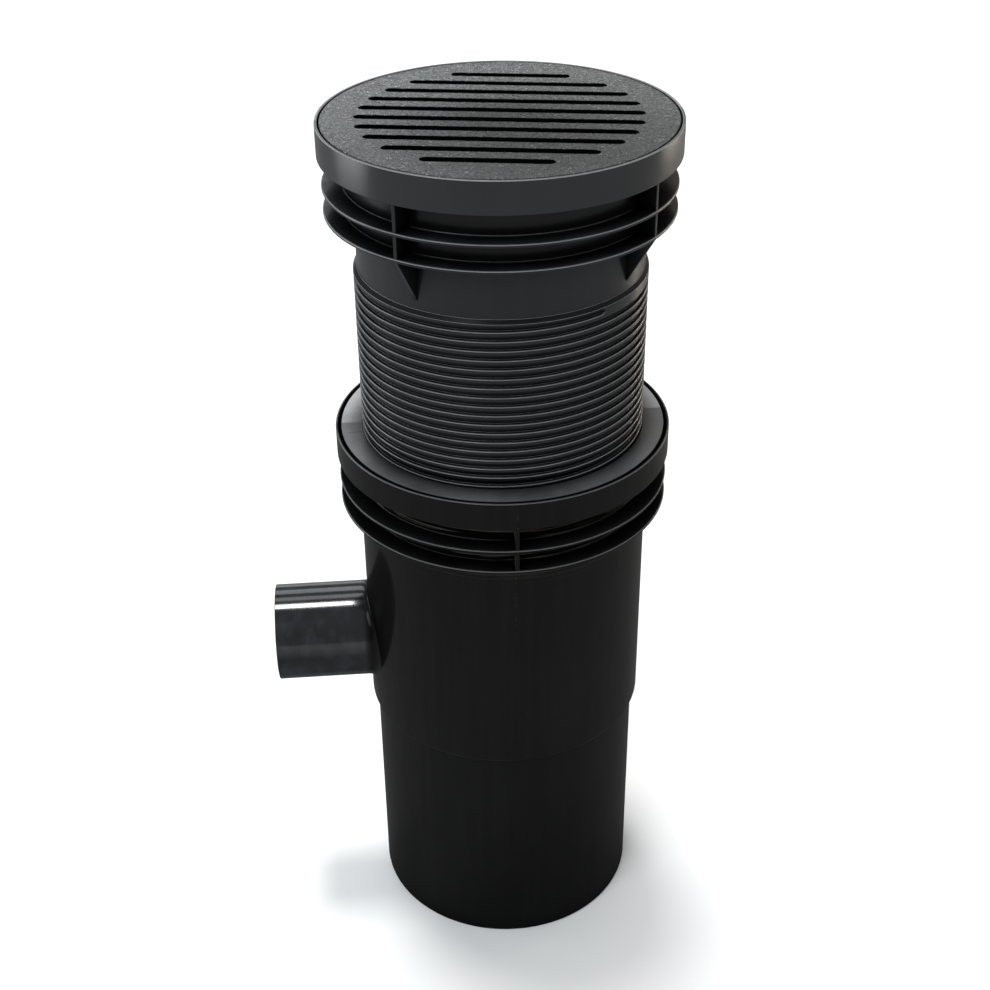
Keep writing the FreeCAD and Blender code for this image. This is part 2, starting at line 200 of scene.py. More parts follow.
# Stops over places in metres: heights, metres to the left, and the front half against the back half
ABOVE_OUTLET = [(0.44, 0), (0.46, 1)]
RISER_RIM_BAND = [(RISER_TOP - RISER_RIM * MM - 0.001, 0), (RISER_TOP - RISER_RIM * MM, 1)]
BODY_FOOT_BAND = [(0.270, 0), (0.272, 1), (0.282, 1), (0.284, 0)]
OUTLET_BAND = [(0.158, 0), (0.164, 1)]
# Dust thinner on the front half, as painted shade there
DUST_AND_PAINTED_FRONT_SHADE = [(0, 0.3), (0, 1)]

# Shades
MARKS = (0.02, 0.02, 0.021, 1)
# Painted shade for hollows
PAINTED_HOLLOW_SHADE = (0.0015, 0.0016, 0.0018, 1)
# Painted reflections in the body's bays
PAINTED_BAY_REFLECTION = (0.13, 0.12, 0.10, 1)
SMUDGES = (0.024, 0.027, 0.034, 1)
DARK_IRON = (0.006, 0.0065, 0.0064, 1)
PALE_IRON = (0.014, 0.015, 0.0148, 1)
# Bare worn grains, partly painted glints
BARE_GRAINS_AND_GLINTS = (0.34, 0.37, 0.365, 1)
IRON_PITS = (0.004, 0.004, 0.004, 1)
# Painted shade on the slot walls and the middle of the grate
PAINTED_SLOT_SHADE = (0.002, 0.002, 0.002, 1)

# Studio
FLOOR_REACH = 60
WORLD_LIGHT = 0.45
POOL_SPREAD = math.radians(40)
PANEL_SPREAD = math.radians(60)


# Outlines and solids

def rounded(corners):
    """Outline points for corners (across, up, fillet), with every fillet drawn as an arc."""
    points = []
    for index, (across, up, fillet) in enumerate(corners):
        here = Vector((across, up))
        if fillet == NO_FILLET:
            points.append(here)
            continue
        before = (Vector(corners[index - 1][:2]) - here).normalized()
        after = (Vector(corners[(index + 1) % len(corners)][:2]) - here).normalized()
        half = before.angle(after) / 2
        centre = here + (before + after).normalized() * fillet / math.sin(half)
        start = here + before * fillet / math.tan(half) - centre
        sweep = start.angle_signed(here + after * fillet / math.tan(half) - centre)
        for step in range(FILLET_STEPS + 1):
            points.append(centre + Matrix.Rotation(-sweep * step / FILLET_STEPS, 2) @ start)
    return points


def turn(bm, outline, lift=0.0, closed=True, start=0.0):
    """Turn an outline about the upright axis. Returns the rings of vertices."""
    rings = []
    for step in range(STEPS):
        angle = start + TURN * step / STEPS
        across = Vector((math.cos(angle), math.sin(angle), 0)) * MM
        rings.append([bm.verts.new(across * r + Vector((0, 0, lift + z * MM))) for r, z in outline])
    for near, far in zip(rings, rings[1:] + rings[:1]):
        last = len(outline) if closed else len(outline) - 1
        for index in range(last):
            after = (index + 1) % len(outline)
            bm.faces.new((near[index], far[index], far[after], near[after]))
    return rings


def plates(bm, outline, thickness, lift, angles, round_by=RIB_ROUND):
    """Upright plates with a straight-sided outline, one at each angle, with softened edges."""
    half = thickness * MM / 2
    for angle in angles:
        place = Matrix.Translation((0, 0, lift)) @ Matrix.Rotation(angle, 4, "Z")
        sides = [[bm.verts.new(place @ Vector((r * MM, side, z * MM))) for r, z in outline]
                 for side in (-half, half)]
        faces = [bm.faces.new(sides[0]), bm.faces.new(reversed(sides[1]))]
        for index in range(len(outline)):
            after = (index + 1) % len(outline)
            corners = (sides[0][after], sides[0][index], sides[1][index], sides[1][after])
            faces.append(bm.faces.new(corners))
        soften(bm, {edge for face in faces for edge in face.edges}, round_by)


def soften(bm, edges, round_by):
    bmesh.ops.bevel(bm, geom=list(edges), offset=round_by * MM, segments=2, profile=0.5, affect="EDGES")


def quarter_turns(start=0.0):
    return [start + TURN * index / RIB_COUNT for index in range(RIB_COUNT)]


def close_up(bm):
    """Join the edges that meet and turn every face outwards."""
    bmesh.ops.remove_doubles(bm, verts=bm.verts, dist=JOIN_DISTANCE)
    bmesh.ops.recalc_face_normals(bm, faces=bm.faces)


def new_object(bm, name):
    mesh = bpy.data.meshes.new(name)
    bm.to_mesh(mesh)
    bm.free()
    made = bpy.data.objects.new(name, mesh)
    bpy.context.collection.objects.link(made)
    return made


def solid(name, corners, place=Matrix()):
    """A closed turned solid to join or cut with."""
    bm = bmesh.new()
    turn(bm, rounded(corners))
    close_up(bm)
    bmesh.ops.transform(bm, matrix=place, verts=bm.verts)
    return new_object(bm, name)


def carved(base, changes):
    """The geometry of a solid after others were joined to it or cut out of it."""
    for other, operation in changes:
        step = base.modifiers.new(other.name, "BOOLEAN")
        step.operation = operation
        step.object = other
        step.solver = "EXACT"
    bpy.context.view_layer.update()
    mesh = bpy.data.meshes.new_from_object(base.evaluated_get(bpy.context.evaluated_depsgraph_get()))
    bm = bmesh.new()
    bm.from_mesh(mesh)
    for used in [base] + [other for other, operation in changes]:
        bpy.data.objects.remove(used)
    return bm


def finish_piece(bm, name, body, node, material):
    """Make the built geometry a smooth-shaded piece that rides on a body and stands for a CAD node."""
    close_up(bm)
    for face in bm.faces:
        face.smooth = True
    for edge in bm.edges:
        edge.smooth = edge.calc_face_angle(0) < SHARP
    piece = new_object(bm, name)
    piece.data.materials.clear()
    piece.data.materials.append(material)
    shading = piece.modifiers.new("even_shading", "WEIGHTED_NORMAL")
    shading.keep_sharp = True
    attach(piece, body)
    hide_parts(node)
    return piece


# Pieces

def flange_corners(radius, root, drops):
    """Outside corners of a pair of flanges, from the lower one up."""
    corners = []
    for drop in reversed(drops):
        corners += [
            (root, -drop - FLANGE_THICKNESS, CORNER),
            (radius, -drop - FLANGE_THICKNESS, FLANGE_ROUND),
            (radius, -drop, FLANGE_ROUND),
            (root, -drop, CORNER),
        ]
    return corners


def make_riser(material):
    bm = bmesh.new()
    lower = RISER_FLANGES[1]
    under = -lower - FLANGE_THICKNESS
    flanges = flange_corners(RISER_FLANGE, NECK_RADIUS, RISER_FLANGES)
    flanges[0] = (TUBE_RADIUS, under, CORNER)
    shell = [
        (THREAD_RADIUS, -COLLAR_END, NO_FILLET),
        (THREAD_RADIUS, -COLLAR_FOOT, COLLAR_ROUND),
        (TUBE_RADIUS, -COLLAR_DROP, FINE_CORNER),
        *flanges,
        (NECK_RADIUS, -RISER_RIM, CORNER),
        (RIM_RADIUS, -RISER_RIM, FLANGE_ROUND),
        (RIM_RADIUS, 0, RIM_ROUND),
        (RIM_INSIDE, 0, FLANGE_ROUND),
        (RIM_INSIDE, -RISER_LEDGE, FINE_CORNER),
        (NECK_INSIDE, -RISER_LEDGE, CORNER),
        (NECK_INSIDE, NECK_TAPER - lower, CORNER),
        (TUBE_INSIDE, -lower, CORNER),
        (TUBE_INSIDE, -RISER_LENGTH, FINE_CORNER),
        (FOOT_RADIUS, -RISER_LENGTH, NO_FILLET),
    ]
    turn(bm, rounded(shell), RISER_TOP, closed=False, start=THREAD_START)
    cut_thread(bm)
    rib_edge = RISER_FLANGE - RIB_INSET
    plates(bm, [
        (NECK_RADIUS - BITE, BITE - RISER_RIM),
        (rib_edge, BITE - RISER_RIM),
        (rib_edge, under),
        (TUBE_RADIUS, -GUSSET_TIP),
        (TUBE_RADIUS - BITE, -GUSSET_TIP),
        (TUBE_RADIUS - BITE, under),
        (NECK_RADIUS - BITE, -lower),
    ], RIB_THICKNESS, RISER_TOP, quarter_turns(RISER_TURN))
    return finish_piece(bm, "riser_moulding", "top", "riser", material)


def groove_outline():
    """The groove from the ridge above to the ridge below: long slope, root, steep flank."""
    slope = THREAD_PITCH - THREAD_CREST - THREAD_FLANK
    corners = [
        (THREAD_RADIUS, THREAD_CREST / 2, NO_FILLET),
        (THREAD_RADIUS, 0, THREAD_ROUND),
        (THREAD_RADIUS - THREAD_DEPTH, -slope, THREAD_ROOT),
        (THREAD_RADIUS, -slope - THREAD_FLANK, THREAD_ROUND),
        (THREAD_RADIUS, -THREAD_PITCH + THREAD_CREST / 2, NO_FILLET),
    ]
    return rounded(corners)[1:-1]


def cut_thread(bm):
    """The threaded outside of the riser, one row of points after another down a right-hand helix.

    Its upper end is rounded, and the foot cuts it off."""
    outline = groove_outline()
    two_ridges = [(r, z + THREAD_PITCH * ridge) for ridge in range(2) for r, z in reversed(outline)]
    middle = (outline[0].y + outline[-1].y) / 2
    travelled = THREAD_TIP_STEPS + list(range(1, STEPS * THREAD_TURNS + 1))
    rows = []
    for step in travelled:
        angle = THREAD_START - TURN * step / STEPS
        drop = THREAD_START_DROP + THREAD_PITCH * step / STEPS
        across = Vector((math.cos(angle), math.sin(angle), 0)) * MM
        base = Vector((0, 0, RISER_TOP - drop * MM))
        to_end = max(0, 1 - TURN * step / STEPS * THREAD_RADIUS / THREAD_END)
        full = math.sqrt(1 - to_end**2)
        foot_level = drop - RISER_LENGTH
        row = []
        for r, z in outline:
            radius = THREAD_RADIUS + (r - THREAD_RADIUS) * full
            level = middle + (z - middle) * full
            if level <= foot_level:
                radius = radius_at(two_ridges, foot_level)
                level = foot_level
            row.append(bm.verts.new(across * radius + base + Vector((0, 0, level * MM))))
        rows.append(row)

    def hoop(radius, drop):
        reach = radius * MM
        level = RISER_TOP - drop * MM
        angles = [THREAD_START - TURN * step / STEPS for step in range(STEPS)]
        return [bm.verts.new((reach * math.cos(angle), reach * math.sin(angle), level))
                for angle in angles]

    def stretch(step, side):
        """The points on one side of the groove, from this step to the next."""
        index = travelled.index(step)
        return [row[side] for row in rows[index:travelled.index(step + 1) + 1]]

    for near, far in zip(rows, rows[1:]):
        for index in range(len(outline) - 1):
            bm.faces.new((near[index], far[index], far[index + 1], near[index + 1]))
    last = travelled[-1]
    for step in range(last - STEPS):
        bm.faces.new(stretch(step, -1) + stretch(step + STEPS, 0)[::-1])
    foot = hoop(FOOT_RADIUS, RISER_LENGTH)
    for step in range(STEPS):
        bm.faces.new(stretch(last - STEPS + step, -1) + [foot[(step + 1) % STEPS], foot[step]])
    head = hoop(THREAD_RADIUS, COLLAR_END)
    for step in range(STEPS - 1):
        bm.faces.new(head[step:step + 2] + stretch(step, 0)[::-1])
    before_tip = stretch(STEPS - 1, 0)
    bm.faces.new([head[-1], head[0], rows[0][0]] + before_tip[::-1])


def make_body(material):
    outlet_axis = Matrix.Translation((0, 0, BODY_TOP - OUTLET_DROP * MM))
    lie_left = outlet_axis @ Matrix.Rotation(-TURN / 4, 4, "Y")
    lift = Matrix.Translation((0, 0, BODY_TOP))
    outside = solid("outside", [
        (0, 0, NO_FILLET),
        (0, -BODY_LENGTH, NO_FILLET),
        (SHAFT_RADIUS, -BODY_LENGTH, FLANGE_ROUND),
        *flange_corners(BODY_FLANGE, SHAFT_RADIUS, BODY_FLANGES),
        (SHAFT_RADIUS, -BODY_RIM, CORNER),
        (RIM_RADIUS, -BODY_RIM, FLANGE_ROUND),
        (RIM_RADIUS, 0, RIM_ROUND),
    ], lift)
    spigot = solid("spigot", [
        (0, 0, NO_FILLET),
        (OUTLET_RADIUS, 0, NO_FILLET),
        (OUTLET_RADIUS, OUTLET_END, OUTLET_ROUND),
        (0, OUTLET_END, NO_FILLET),
    ], lie_left)
    inside = solid("inside", [
        (0, OVERCUT, NO_FILLET),
        (0, -BODY_LENGTH - OVERCUT, NO_FILLET),
        (SHAFT_INSIDE, -BODY_LENGTH - OVERCUT, NO_FILLET),
        (SHAFT_INSIDE, -STOP_FOOT, FINE_CORNER),
        (STOP_RADIUS, -STOP_FOOT, FINE_CORNER),
        (STOP_RADIUS, -STOP_HEAD, FINE_CORNER),
        (SHAFT_INSIDE, -STOP_HEAD, FINE_CORNER),
        (SHAFT_INSIDE, -BODY_LEDGE, FINE_CORNER),
        (RIM_INSIDE, -BODY_LEDGE, FINE_CORNER),
        (RIM_INSIDE, -FLANGE_ROUND, NO_FILLET),
        (RIM_INSIDE + FLANGE_ROUND, 0, NO_FILLET),
        (RIM_INSIDE + FLANGE_ROUND, OVERCUT, NO_FILLET),
    ], lift)
    bore = solid("bore", [
        (0, 0, NO_FILLET),
        (OUTLET_INSIDE, 0, NO_FILLET),
        (OUTLET_INSIDE, OUTLET_END - OUTLET_ROUND, NO_FILLET),
        (OUTLET_INSIDE + OUTLET_ROUND, OUTLET_END, NO_FILLET),
        (OUTLET_INSIDE + OUTLET_ROUND, OUTLET_END + OVERCUT, NO_FILLET),
        (0, OUTLET_END + OVERCUT, NO_FILLET),
    ], lie_left)
    bm = carved(outside, [(spigot, "UNION"), (inside, "DIFFERENCE"), (bore, "DIFFERENCE")])
    add_outlet_root(bm)
    rib_edge = BODY_FLANGE - RIB_INSET
    rib_foot = -BODY_FLANGES[1] - FLANGE_THICKNESS / 2
    plates(bm, [
        (SHAFT_RADIUS - BITE, BITE - BODY_RIM),
        (rib_edge, BITE - BODY_RIM),
        (rib_edge, rib_foot),
        (SHAFT_RADIUS - BITE, rib_foot),
    ], RIB_THICKNESS, BODY_TOP, quarter_turns())
    add_parting_lines(bm)
    return finish_piece(bm, "body_moulding", "sump", "body", material)


def add_outlet_root(bm):
    """The hollow fillet all round the foot of the spigot, as a closed bead."""
    axis = BODY_TOP - OUTLET_DROP * MM

    def on_shaft(reach, angle, out=0.0):
        side = reach * math.cos(angle)
        return Vector((-math.sqrt(SHAFT_RADIUS**2 - side**2) - out, side, reach * math.sin(angle)))

    rings = []
    for step in range(STEPS):
        angle = TURN * step / STEPS
        start = on_shaft(OUTLET_RADIUS + OUTLET_ROOT, angle)
        corner = on_shaft(OUTLET_RADIUS, angle)
        end = on_shaft(OUTLET_RADIUS, angle, OUTLET_ROOT)
        heart = on_shaft(OUTLET_RADIUS - SMALL_BITE, angle, -SMALL_BITE)
        curve = []
        for index in range(OUTLET_ROOT_STEPS + 1):
            along = index / OUTLET_ROOT_STEPS
            curve.append(start * (1 - along)**2 + corner * 2 * along * (1 - along) + end * along**2)
        rings.append([bm.verts.new(point * MM + Vector((0, 0, axis))) for point in curve + [heart]])
    for near, far in zip(rings, rings[1:] + rings[:1]):
        for index in range(len(near)):
            after = (index + 1) % len(near)
            bm.faces.new((near[index], far[index], far[after], near[after]))


def add_parting_lines(bm):
    """The fine upright seam that the two mould halves leave at front and back."""
    seams = (-TURN / 4, TURN / 4)
    stretches = (
        (RIM_RADIUS, -RIM_ROUND, FLANGE_ROUND - BODY_RIM),
        (SHAFT_RADIUS, -BODY_FLANGES[1] - FLANGE_THICKNESS - CORNER, FLANGE_ROUND - BODY_LENGTH),
    )
    for radius, head, foot in stretches:
        plates(bm, [
            (radius - SMALL_BITE, head),
            (radius + PARTING_HEIGHT, head),
            (radius + PARTING_HEIGHT, foot),
            (radius - SMALL_BITE, foot),
        ], PARTING_WIDTH, BODY_TOP, seams, round_by=PARTING_HEIGHT / 2)


def make_ring(material):
    bm = bmesh.new()
    inner_wall = RING_THREAD + RING_WALL
    outer_wall = RING_RADIUS - RING_WALL
    rings = turn(bm, rounded([
        (RING_THREAD, 0, NO_FILLET),
        (RING_RADIUS, 0, RING_ROUND),
        (RING_RADIUS, -BODY_LEDGE, FINE_CORNER),
        (outer_wall, -BODY_LEDGE, FINE_CORNER),
        (outer_wall, -RING_WALL, FINE_CORNER),
        (inner_wall, -RING_WALL, FINE_CORNER),
        (inner_wall, -BODY_LEDGE, FINE_CORNER),
        (RING_THREAD, -BODY_LEDGE, NO_FILLET),
    ]), BODY_TOP, closed=False, start=THREAD_START)
    columns = ring_thread(bm)
    for index in range(STEPS):
        after = (index + 1) % STEPS
        bm.faces.new((columns[index][-1], columns[after][-1], rings[after][0], rings[index][0]))
        bm.faces.new((columns[index][0], columns[after][0], rings[after][-1], rings[index][-1]))
    plates(bm, [
        (inner_wall - BITE, BITE - RING_WALL),
        (outer_wall + BITE, BITE - RING_WALL),
        (outer_wall + BITE, -BODY_LEDGE),
        (inner_wall - BITE, -BODY_LEDGE),
    ], RIB_THICKNESS, BODY_TOP, [RISER_TURN + TURN * rib / RING_RIBS for rib in range(RING_RIBS)])
    plates(bm, [
        (RING_THREAD + KNIT_INSET, -SMALL_BITE),
        (RING_RADIUS - KNIT_INSET, -SMALL_BITE),
        (RING_RADIUS - KNIT_INSET, KNIT_HEIGHT),
        (RING_THREAD + KNIT_INSET, KNIT_HEIGHT),
    ], KNIT_WIDTH, BODY_TOP, [KNIT_LINE], round_by=KNIT_HEIGHT / 2)
    return finish_piece(bm, "ring_moulding", "ring", "threaded_ring", material)


def ring_thread(bm):
    """The ring's inside, one column of ridge corners at each angle, cut off at its foot and lead-in."""
    low = -BODY_LEDGE
    high = -RING_LEAD_IN
    columns = []
    for step in range(STEPS):
        angle = THREAD_START + TURN * step / STEPS
        rise = RING_RIDGE_RISE + THREAD_PITCH * step / STEPS
        corners = []
        for ridge in RING_RIDGES:
            corners += [(radius, rise + up + THREAD_PITCH * ridge) for up, radius in RING_RIDGE]
        column = []
        for radius, up in corners:
            level = min(max(up, low), high)
            column.append((radius if level == up else radius_at(corners, level), level))
        across = Vector((math.cos(angle), math.sin(angle), 0))
        columns.append([bm.verts.new((across * r + Vector((0, 0, z))) * MM + Vector((0, 0, BODY_TOP)))
                        for r, z in column])
    corner_count = len(RING_RIDGE)
    joined = columns + [columns[0][corner_count:]]
    for near, far in zip(joined, joined[1:]):
        for index in range(len(far) - 1):
            bm.faces.new((near[index], far[index], far[index + 1], near[index + 1]))
    return columns


def radius_at(corners, level):
    """The radius of an outline at a height inside it. Its corners go from the lowest up."""
    for (radius, up), (next_radius, next_up) in zip(corners, corners[1:]):
        if up <= level <= next_up:
            return radius + (next_radius - radius) * (level - up) / (next_up - up)


def make_bucket(material):
    bm = bmesh.new()
    turn(bm, rounded([
        (0, 0, NO_FILLET),
        (BUCKET_RADIUS, 0, BUCKET_ROUND),
        (BUCKET_RADIUS, SEAL_GROOVE[0], FINE_CORNER),
        (SEAL_GROOVE_RADIUS, SEAL_GROOVE[0], FINE_CORNER),
        (SEAL_GROOVE_RADIUS, SEAL_GROOVE[1], FINE_CORNER),
        (BUCKET_RADIUS, SEAL_GROOVE[1], FINE_CORNER),
        (BUCKET_RADIUS, BUCKET_TOP, FINE_CORNER),
        (BUCKET_INSIDE, BUCKET_TOP, FINE_CORNER),
        (BUCKET_INSIDE, BUCKET_FLOOR, BUCKET_ROUND),
        (0, BUCKET_FLOOR, NO_FILLET),
    ]))
    return finish_piece(bm, "bucket_moulding", "sump", "bucket", material)


# Cast grate

def uneven(point):
    """A small shift that makes a cast edge wander in long waves, with short ones on them."""
    long_waves = SLOT_WANDER * noise.noise(point * LONG_WAVES)
    return long_waves + 0.5 * SLOT_WANDER * noise.noise(point * SHORT_WAVES)


def circle_outline(radius):
    """The grate's rim, drawn in by an inset."""
    def draw(inset):
        angles = [TURN * step / STEPS for step in range(STEPS)]
        return [Vector((math.cos(angle), math.sin(angle), 0)) * (radius - inset) for angle in angles]
    return draw


def slot_outline(offset):
    """A slot with round ends, widened by an inset, with edges as uneven as a casting's."""
    reach = math.sqrt(SLOT_CIRCLE**2 - offset**2) - SLOT_WIDTH / 2

    def draw(inset):
        half = SLOT_WIDTH / 2 + inset
        points = []
        for side in (1, -1):
            middle = Vector((side * reach, offset, 0))
            for step in range(SLOT_END_STEPS):
                angle = TURN / 2 * (step / SLOT_END_STEPS) - side * TURN / 4
                points.append(middle + Vector((math.cos(angle), math.sin(angle), 0)) * half)
            for step in range(SLOT_SIDE_STEPS):
                along = side * reach * (1 - 2 * step / SLOT_SIDE_STEPS)
                points.append(Vector((along, offset + side * half, 0)))
        heart = Vector((0, offset, 0))
        shifted = []
        for point in points:
            out = Vector((0, math.copysign(1, point.y - heart.y), 0))
            shifted.append(point + out * uneven(point))
        return shifted
    return draw


def make_grate(material):
    bm = bmesh.new()
    half_count = (SLOT_COUNT - 1) / 2
    outlines = [(circle_outline(GRATE_RADIUS), GRATE_ROUND)]
    for index in range(SLOT_COUNT):
        outlines.append((slot_outline((index - half_count) * SLOT_PITCH), SLOT_ROUND))
    add_slotted_plate(bm, outlines)
    skirt_inside = GRATE_RADIUS - GRATE_SKIRT
    turn(bm, rounded([
        (GRATE_RADIUS - SKIRT_HEAD_INSET, -GRATE_PLATE + SMALL_BITE, FINE_CORNER),
        (GRATE_RADIUS - SKIRT_FOOT_INSET, -GRATE_DEPTH, FINE_CORNER),
        (skirt_inside, -GRATE_DEPTH, FINE_CORNER),
        (skirt_inside, -GRATE_PLATE + SMALL_BITE, FINE_CORNER),
    ]))
    for side in (-1, 1):
        add_bar(bm, side * BAR_SPACING / 2)
    place = Matrix.Translation((0, 0, GRATE_TOP)) @ Matrix.Rotation(GRATE_TURN, 4, "Z")
    bmesh.ops.transform(bm, matrix=place, verts=bm.verts)
    return finish_piece(bm, "grate_casting", "top", "grate", material)


def add_slotted_plate(bm, outlines):
    """A flat plate inside the first outline, with the others cut through and all top edges rounded."""
    heads = []
    feet = []
    for draw, edge in outlines:
        insets = []
        for step in range(EDGE_STEPS + 1):
            angle = TURN / 4 * step / EDGE_STEPS
            insets.append((edge * (1 - math.sin(angle)), -edge * (1 - math.cos(angle))))
        insets.append((0.0, -GRATE_PLATE))
        loops = []
        for inset, z in insets:
            loops.append([bm.verts.new((point + Vector((0, 0, z))) * MM) for point in draw(inset)])
        for upper, lower in zip(loops, loops[1:]):
            for index in range(len(upper)):
                after = (index + 1) % len(upper)
                bm.faces.new((upper[index], upper[after], lower[after], lower[index]))
        heads += ring_edges(bm, loops[0])
        feet += ring_edges(bm, loops[-1])
    for edges in (heads, feet):
        bmesh.ops.triangle_fill(bm, use_beauty=True, use_dissolve=False, edges=edges)


def ring_edges(bm, loop):
    return [bm.edges.get((vert, after)) for vert, after in zip(loop, loop[1:] + loop[:1])]


def add_bar(bm, across):
    reach = math.sqrt((GRATE_RADIUS - GRATE_SKIRT / 2)**2 - (abs(across) + BAR_WIDTH / 2)**2)
    size = Matrix.Diagonal((BAR_WIDTH * MM, 2 * reach * MM, (BAR_DEPTH + SMALL_BITE) * MM, 1))
    place = Matrix.Translation((across * MM, 0, -(GRATE_PLATE + (BAR_DEPTH - SMALL_BITE) / 2) * MM))
    made = bmesh.ops.create_cube(bm, size=1, matrix=place @ size)
    soften(bm, {edge for vert in made["verts"] for edge in vert.link_edges}, BAR_ROUND)


# Finishes

class Value:
    """A shader socket that can be used in Python sums."""

    def __init__(self, finish, socket):
        self.finish = finish
        self.socket = socket

    def __add__(self, other):
        return self.finish.maths("ADD", self, other)

    def __sub__(self, other):
        return self.finish.maths("SUBTRACT", self, other)

    def __rsub__(self, other):
        return self.finish.maths("SUBTRACT", other, self)

    def __mul__(self, other):
        return self.finish.maths("MULTIPLY", self, other)

    __radd__ = __add__
    __rmul__ = __mul__


class Finish:
    """A procedural material in the making."""

    def __init__(self, name):
        self.material = bpy.data.materials.new(name)
        self.material.use_nodes = True
        self.tree = self.material.node_tree
        self.shader = self.tree.nodes["Principled BSDF"]
        self.place = self.node("ShaderNodeTexCoord", {}, {}, "Object")

    def node(self, kind, settings, inputs, output):
        """Add a node, settings first, then the values or links of its sockets. Returns one output."""
        made = self.tree.nodes.new(kind)
        for key, setting in settings.items():
            if key == "stops":
                self.set_stops(made.color_ramp, setting)
            else:
                setattr(made, key, setting)
        for key, given in inputs.items():
            self.feed(made.inputs[key], given)
        return Value(self, made.outputs[output])

    def feed(self, socket, given):
        if isinstance(given, Value):
            self.tree.links.new(given.socket, socket)
        else:
            socket.default_value = given

    def set_stops(self, ramp, stops):
        while len(ramp.elements) < len(stops):
            ramp.elements.new(1)
        for element, (position, level) in zip(ramp.elements, stops):
            element.position = position
            element.color = (level, level, level, 1)

    def maths(self, operation, first, second):
        return self.node("ShaderNodeMath", {"operation": operation}, {0: first, 1: second}, "Value")

    def mix(self, factor, first, second):
        """A colour between two colours."""
        return self.node("ShaderNodeMix", {"data_type": "RGBA"}, {0: factor, 6: first, 7: second}, 2)

    def stretched(self, scale):
        """Object coordinates times a vector, so that a pattern can be drawn out."""
        inputs = {0: self.place, 1: scale}
        return self.node("ShaderNodeVectorMath", {"operation": "MULTIPLY"}, inputs, "Vector")

    def grain(self, scale, detail=4.0, roughness=0.55, place=None):
        """Soft noise from 0 to 1. Scale is in cycles a metre."""
        inputs = {"Vector": place or self.place, "Scale": scale, "Detail": detail, "Roughness": roughness}
        return self.node("ShaderNodeTexNoise", {}, inputs, "Fac")

    def cell_shades(self, scale):
        """A shade from 0 to 1 for each of many small cells."""
        shades = self.node("ShaderNodeTexVoronoi", {}, {"Vector": self.place, "Scale": scale}, "Color")
        return self.node("ShaderNodeSeparateColor", {}, {"Color": shades}, "Red")

    def ramp(self, factor, stops):
        """A level that runs through stops (position, level). Positions are from 0 to 1."""
        return self.node("ShaderNodeValToRGB", {"stops": stops}, {"Fac": factor}, "Color")

    def upward(self):
        """How far a surface looks up, from -1 to 1."""
        normal = self.node("ShaderNodeNewGeometry", {}, {}, "Normal")
        return self.node("ShaderNodeSeparateXYZ", {}, {"Vector": normal}, "Z")

    def along(self, axis):
        """Metres along an axis of the frame, as the object stands at rest."""
        return self.node("ShaderNodeSeparateXYZ", {}, {"Vector": self.place}, axis)

    def openness(self, reach):
        """How open a place is to its surroundings: 1 on an open face, less in a hollow."""
        return self.node("ShaderNodeAmbientOcclusion", {"samples": 6}, {"Distance": reach}, "AO")

    def bump(self, height, distance, strength=1.0):
        inputs = {"Height": height, "Distance": distance, "Strength": strength}
        return self.node("ShaderNodeBump", {}, inputs, "Normal")

    def dull_where_not(self, share, colour):
        """Let a dull shader of one colour take over where the share falls from 1 to 0."""
        matt = {"Base Color": colour, "Roughness": 1.0, "Specular IOR Level": 0.0}
        dull = self.node("ShaderNodeBsdfPrincipled", {}, matt, "BSDF")
        shiny = Value(self, self.shader.outputs["BSDF"])
        both = self.node("ShaderNodeMixShader", {}, {0: share, 1: dull, 2: shiny}, "Shader")
        self.tree.links.new(both.socket, self.tree.nodes["Material Output"].inputs["Surface"])

    def finished(self, sockets):
        for key, given in sockets.items():
            self.feed(self.shader.inputs[key], given)
        return self.material


